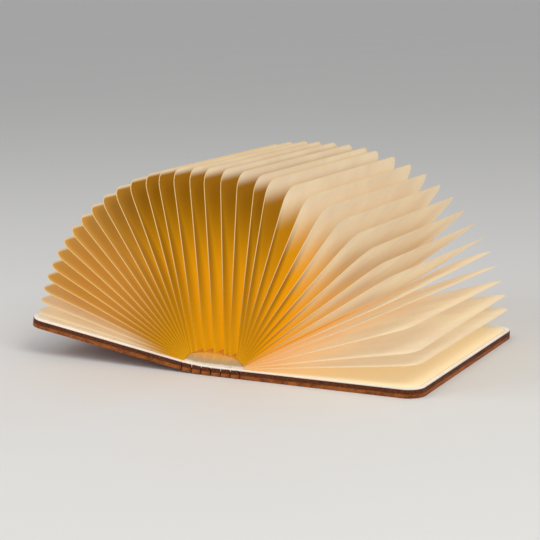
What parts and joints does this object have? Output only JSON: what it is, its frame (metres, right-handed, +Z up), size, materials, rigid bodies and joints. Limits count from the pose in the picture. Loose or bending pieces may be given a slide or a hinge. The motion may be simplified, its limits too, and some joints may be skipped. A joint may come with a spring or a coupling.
{
  "type": "folding book lamp",
  "caption": "Book-shaped lamp: wooden covers joined by a slit spine open a fan of lit, double-walled paper pages.",
  "frame": {"origin": "middle of the lower cover's underside, which lies on the table", "axes": "+X from the spine to the lower cover's fore-edge, +Y along the spine to the end with the charging socket, +Z up"},
  "size_m": [0.3323, 0.215, 0.1553],
  "materials": {
    "walnut": "satin",
    "page_paper": "matte",
    "lining": "matte",
    "diffuser": "matte",
    "flex": "satin",
    "led": "gloss",
    "pouch": "satin",
    "lead_sleeve": "satin",
    "circuit_board": "satin",
    "steel": "satin",
    "glass_tube": "gloss"
  },
  "bodies": {
    "lower_cover": {"cover_lower": "walnut", "lining_lower": "lining", "battery": "pouch", "leads": "lead_sleeve", "charge_board": "circuit_board", "charge_socket": "steel", "reed_switch": "glass_tube", "magnets_lower": "steel"},
    "slat_1": {"slat_1": "walnut"},
    "slat_2": {"slat_2": "walnut"},
    "slat_3": {"slat_3": "walnut", "led_strip_lower": "flex", "leds_lower": "led", "power_ribbon": "flex", "spine_lining": "lining"},
    "slat_4": {"slat_4": "walnut", "led_strip_upper": "flex", "leds_upper": "led", "diffuser": "diffuser"},
    "slat_5": {"slat_5": "walnut"},
    "slat_6": {"slat_6": "walnut"},
    "upper_cover": {"cover_upper": "walnut", "lining_upper": "lining", "magnets_upper": "steel"},
    "page_1": {"page_1": "page_paper"},
    "page_2": {"page_2": "page_paper"},
    "page_3": {"page_3": "page_paper"},
    "page_4": {"page_4": "page_paper"},
    "page_5": {"page_5": "page_paper"},
    "page_6": {"page_6": "page_paper"},
    "page_7": {"page_7": "page_paper"},
    "page_8": {"page_8": "page_paper"},
    "page_9": {"page_9": "page_paper"},
    "page_10": {"page_10": "page_paper"},
    "page_11": {"page_11": "page_paper"},
    "page_12": {"page_12": "page_paper"},
    "page_13": {"page_13": "page_paper"},
    "page_14": {"page_14": "page_paper"},
    "page_15": {"page_15": "page_paper"},
    "page_16": {"page_16": "page_paper"},
    "page_17": {"page_17": "page_paper"},
    "page_18": {"page_18": "page_paper"},
    "page_19": {"page_19": "page_paper"},
    "page_20": {"page_20": "page_paper"},
    "page_21": {"page_21": "page_paper"},
    "page_22": {"page_22": "page_paper"},
    "page_23": {"page_23": "page_paper"},
    "page_24": {"page_24": "page_paper"},
    "page_25": {"page_25": "page_paper"},
    "page_26": {"page_26": "page_paper"},
    "page_27": {"page_27": "page_paper"},
    "page_28": {"page_28": "page_paper"},
    "page_29": {"page_29": "page_paper"},
    "page_30": {"page_30": "page_paper"},
    "page_31": {"page_31": "page_paper"},
    "page_32": {"page_32": "page_paper"},
    "page_33": {"page_33": "page_paper"},
    "page_34": {"page_34": "page_paper"},
    "page_35": {"page_35": "page_paper"}
  },
  "joints": [
    {"name": "spine_fold_1", "type": "hinge", "parent": "lower_cover", "child": "slat_1", "pos_m": [-0.071, 0, 0.0062], "axis": [0, 1, 0], "range_deg": [-1.35, 25.71], "deforming": ["spine_lining", "diffuser", "power_ribbon"]},
    {"name": "spine_fold_2", "type": "hinge", "parent": "slat_1", "child": "slat_2", "pos_m": [-0.0792, 0, 0.0062], "axis": [0, 1, 0], "range_deg": [-1.91, 26.27]},
    {"name": "spine_fold_3", "type": "hinge", "parent": "slat_2", "child": "slat_3", "pos_m": [-0.0874, 0, 0.0062], "axis": [0, 1, 0], "range_deg": [-1.91, 26.27]},
    {"name": "spine_fold_4", "type": "hinge", "parent": "slat_3", "child": "slat_4", "pos_m": [-0.0956, 0, 0.0062], "axis": [0, 1, 0], "range_deg": [-1.79, 24.02]},
    {"name": "spine_fold_5", "type": "hinge", "parent": "slat_4", "child": "slat_5", "pos_m": [-0.10379, 0, 0.00652], "axis": [0, 1, 0], "range_deg": [-1.79, 24.02]},
    {"name": "spine_fold_6", "type": "hinge", "parent": "slat_5", "child": "slat_6", "pos_m": [-0.11197, 0, 0.00717], "axis": [0, 1, 0], "range_deg": [-1.79, 24.02]},
    {"name": "spine_fold_7", "type": "hinge", "parent": "slat_6", "child": "upper_cover", "pos_m": [-0.12011, 0, 0.00813], "axis": [0, 1, 0], "range_deg": [-1.79, 24.02]},
    {"name": "page_fold_1", "type": "hinge", "parent": "upper_cover", "child": "page_1", "pos_m": [-0.12006, 0, 0.00974], "axis": [0, 1, 0], "range_deg": [-1.74, 0.12]},
    {"name": "page_fold_2", "type": "hinge", "parent": "upper_cover", "child": "page_2", "pos_m": [-0.11977, 0, 0.0102], "axis": [0, 1, 0], "range_deg": [-5.58, 0.34]},
    {"name": "page_fold_3", "type": "hinge", "parent": "upper_cover", "child": "page_3", "pos_m": [-0.11946, 0, 0.01066], "axis": [0, 1, 0], "range_deg": [-9.63, 0.58]},
    {"name": "page_fold_4", "type": "hinge", "parent": "upper_cover", "child": "page_4", "pos_m": [-0.11913, 0, 0.01111], "axis": [0, 1, 0], "range_deg": [-13.86, 0.83]},
    {"name": "page_fold_5", "type": "hinge", "parent": "upper_cover", "child": "page_5", "pos_m": [-0.11879, 0, 0.01156], "axis": [0, 1, 0], "range_deg": [-18.27, 1.09]},
    {"name": "page_fold_6", "type": "hinge", "parent": "upper_cover", "child": "page_6", "pos_m": [-0.11842, 0, 0.01201], "axis": [0, 1, 0], "range_deg": [-22.86, 1.36]},
    {"name": "page_fold_7", "type": "hinge", "parent": "upper_cover", "child": "page_7", "pos_m": [-0.11804, 0, 0.01246], "axis": [0, 1, 0], "range_deg": [-27.64, 1.64]},
    {"name": "page_fold_8", "type": "hinge", "parent": "upper_cover", "child": "page_8", "pos_m": [-0.11763, 0, 0.0129], "axis": [0, 1, 0], "range_deg": [-32.59, 1.93]},
    {"name": "page_fold_9", "type": "hinge", "parent": "upper_cover", "child": "page_9", "pos_m": [-0.1172, 0, 0.01334], "axis": [0, 1, 0], "range_deg": [-37.73, 2.24]},
    {"name": "page_fold_10", "type": "hinge", "parent": "upper_cover", "child": "page_10", "pos_m": [-0.11674, 0, 0.01377], "axis": [0, 1, 0], "range_deg": [-43.04, 2.55]},
    {"name": "page_fold_11", "type": "hinge", "parent": "upper_cover", "child": "page_11", "pos_m": [-0.11626, 0, 0.0142], "axis": [0, 1, 0], "range_deg": [-48.54, 2.88]},
    {"name": "page_fold_12", "type": "hinge", "parent": "upper_cover", "child": "page_12", "pos_m": [-0.11575, 0, 0.01463], "axis": [0, 1, 0], "range_deg": [-54.22, 3.22]},
    {"name": "page_fold_13", "type": "hinge", "parent": "upper_cover", "child": "page_13", "pos_m": [-0.11521, 0, 0.01505], "axis": [0, 1, 0], "range_deg": [-60.08, 3.56]},
    {"name": "page_fold_14", "type": "hinge", "parent": "upper_cover", "child": "page_14", "pos_m": [-0.11463, 0, 0.01546], "axis": [0, 1, 0], "range_deg": [-66.12, 3.92]},
    {"name": "page_fold_15", "type": "hinge", "parent": "slat_6", "child": "page_15", "pos_m": [-0.11302, 0, 0.01615], "axis": [0, 1, 0], "range_deg": [-46.87, 2.78]},
    {"name": "page_fold_16", "type": "hinge", "parent": "slat_5", "child": "page_16", "pos_m": [-0.10908, 0, 0.01707], "axis": [0, 1, 0], "range_deg": [-27.27, 1.62]},
    {"name": "page_fold_17", "type": "hinge", "parent": "slat_4", "child": "page_17", "pos_m": [-0.10186, 0, 0.01765], "axis": [0, 1, 0], "range_deg": [-6.46, 0.39]},
    {"name": "page_fold_18", "type": "hinge", "parent": "slat_3", "child": "page_18", "pos_m": [-0.0934, 0, 0.0174], "axis": [0, 1, 0], "range_deg": [-0.93, 15.57]},
    {"name": "page_fold_19", "type": "hinge", "parent": "slat_2", "child": "page_19", "pos_m": [-0.0849, 0, 0.0171], "axis": [0, 1, 0], "range_deg": [-2.32, 39.05]},
    {"name": "page_fold_20", "type": "hinge", "parent": "slat_2", "child": "page_20", "pos_m": [-0.0807, 0, 0.0163], "axis": [0, 1, 0], "range_deg": [-2.07, 34.82]},
    {"name": "page_fold_21", "type": "hinge", "parent": "slat_1", "child": "page_21", "pos_m": [-0.0746, 0, 0.015], "axis": [0, 1, 0], "range_deg": [-3.4, 57.29]},
    {"name": "page_fold_22", "type": "hinge", "parent": "lower_cover", "child": "page_22", "pos_m": [-0.07327, 0, 0.0143], "axis": [0, 1, 0], "range_deg": [-4.71, 79.49]},
    {"name": "page_fold_23", "type": "hinge", "parent": "lower_cover", "child": "page_23", "pos_m": [-0.07263, 0, 0.0138], "axis": [0, 1, 0], "range_deg": [-4.33, 73.02]},
    {"name": "page_fold_24", "type": "hinge", "parent": "lower_cover", "child": "page_24", "pos_m": [-0.07203, 0, 0.0133], "axis": [0, 1, 0], "range_deg": [-3.95, 66.7]},
    {"name": "page_fold_25", "type": "hinge", "parent": "lower_cover", "child": "page_25", "pos_m": [-0.07147, 0, 0.0128], "axis": [0, 1, 0], "range_deg": [-3.59, 60.53]},
    {"name": "page_fold_26", "type": "hinge", "parent": "lower_cover", "child": "page_26", "pos_m": [-0.07095, 0, 0.0123], "axis": [0, 1, 0], "range_deg": [-3.23, 54.5]},
    {"name": "page_fold_27", "type": "hinge", "parent": "lower_cover", "child": "page_27", "pos_m": [-0.07046, 0, 0.0118], "axis": [0, 1, 0], "range_deg": [-2.88, 48.61]},
    {"name": "page_fold_28", "type": "hinge", "parent": "lower_cover", "child": "page_28", "pos_m": [-0.07, 0, 0.0113], "axis": [0, 1, 0], "range_deg": [-2.54, 42.88]},
    {"name": "page_fold_29", "type": "hinge", "parent": "lower_cover", "child": "page_29", "pos_m": [-0.06957, 0, 0.0108], "axis": [0, 1, 0], "range_deg": [-2.21, 37.29]},
    {"name": "page_fold_30", "type": "hinge", "parent": "lower_cover", "child": "page_30", "pos_m": [-0.06917, 0, 0.0103], "axis": [0, 1, 0], "range_deg": [-1.89, 31.85]},
    {"name": "page_fold_31", "type": "hinge", "parent": "lower_cover", "child": "page_31", "pos_m": [-0.06879, 0, 0.0098], "axis": [0, 1, 0], "range_deg": [-1.58, 26.56]},
    {"name": "page_fold_32", "type": "hinge", "parent": "lower_cover", "child": "page_32", "pos_m": [-0.06843, 0, 0.0093], "axis": [0, 1, 0], "range_deg": [-1.27, 21.41]},
    {"name": "page_fold_33", "type": "hinge", "parent": "lower_cover", "child": "page_33", "pos_m": [-0.0681, 0, 0.0088], "axis": [0, 1, 0], "range_deg": [-0.98, 16.41]},
    {"name": "page_fold_34", "type": "hinge", "parent": "lower_cover", "child": "page_34", "pos_m": [-0.06779, 0, 0.0083], "axis": [0, 1, 0], "range_deg": [-0.69, 11.56]},
    {"name": "page_fold_35", "type": "hinge", "parent": "lower_cover", "child": "page_35", "pos_m": [-0.0675, 0, 0.0078], "axis": [0, 1, 0], "range_deg": [-0.41, 6.85]}
  ],
  "couplings": [
    {"joint": "spine_fold_2", "follows": "spine_fold_1", "ratio": 1},
    {"joint": "spine_fold_3", "follows": "spine_fold_1", "ratio": 1},
    {"joint": "spine_fold_4", "follows": "spine_fold_1", "ratio": 0.9125},
    {"joint": "spine_fold_5", "follows": "spine_fold_1", "ratio": 0.9125},
    {"joint": "spine_fold_6", "follows": "spine_fold_1", "ratio": 0.9125},
    {"joint": "spine_fold_7", "follows": "spine_fold_1", "ratio": 0.9125},
    {"joint": "page_fold_1", "follows": "spine_fold_1", "ratio": -0.066111},
    {"joint": "page_fold_2", "follows": "spine_fold_1", "ratio": -0.21544},
    {"joint": "page_fold_3", "follows": "spine_fold_1", "ratio": -0.37178},
    {"joint": "page_fold_4", "follows": "spine_fold_1", "ratio": -0.53511},
    {"joint": "page_fold_5", "follows": "spine_fold_1", "ratio": -0.70544},
    {"joint": "page_fold_6", "follows": "spine_fold_1", "ratio": -0.88278},
    {"joint": "page_fold_7", "follows": "spine_fold_1", "ratio": -1.0671},
    {"joint": "page_fold_8", "follows": "spine_fold_1", "ratio": -1.2584},
    {"joint": "page_fold_9", "follows": "spine_fold_1", "ratio": -1.4568},
    {"joint": "page_fold_10", "follows": "spine_fold_1", "ratio": -1.6621},
    {"joint": "page_fold_11", "follows": "spine_fold_1", "ratio": -1.8744},
    {"joint": "page_fold_12", "follows": "spine_fold_1", "ratio": -2.0938},
    {"joint": "page_fold_13", "follows": "spine_fold_1", "ratio": -2.3201},
    {"joint": "page_fold_14", "follows": "spine_fold_1", "ratio": -2.5534},
    {"joint": "page_fold_15", "follows": "spine_fold_1", "ratio": -1.8097},
    {"joint": "page_fold_16", "follows": "spine_fold_1", "ratio": -1.0528},
    {"joint": "page_fold_17", "follows": "spine_fold_1", "ratio": -0.24917},
    {"joint": "page_fold_18", "follows": "spine_fold_1", "ratio": 0.60111},
    {"joint": "page_fold_19", "follows": "spine_fold_1", "ratio": 1.5078},
    {"joint": "page_fold_20", "follows": "spine_fold_1", "ratio": 1.3444},
    {"joint": "page_fold_21", "follows": "spine_fold_1", "ratio": 2.2122},
    {"joint": "page_fold_22", "follows": "spine_fold_1", "ratio": 3.0698},
    {"joint": "page_fold_23", "follows": "spine_fold_1", "ratio": 2.8199},
    {"joint": "page_fold_24", "follows": "spine_fold_1", "ratio": 2.5757},
    {"joint": "page_fold_25", "follows": "spine_fold_1", "ratio": 2.3372},
    {"joint": "page_fold_26", "follows": "spine_fold_1", "ratio": 2.1044},
    {"joint": "page_fold_27", "follows": "spine_fold_1", "ratio": 1.8772},
    {"joint": "page_fold_28", "follows": "spine_fold_1", "ratio": 1.6558},
    {"joint": "page_fold_29", "follows": "spine_fold_1", "ratio": 1.44},
    {"joint": "page_fold_30", "follows": "spine_fold_1", "ratio": 1.2299},
    {"joint": "page_fold_31", "follows": "spine_fold_1", "ratio": 1.0254},
    {"joint": "page_fold_32", "follows": "spine_fold_1", "ratio": 0.82666},
    {"joint": "page_fold_33", "follows": "spine_fold_1", "ratio": 0.63358},
    {"joint": "page_fold_34", "follows": "spine_fold_1", "ratio": 0.44617},
    {"joint": "page_fold_35", "follows": "spine_fold_1", "ratio": 0.26444}
  ]
}
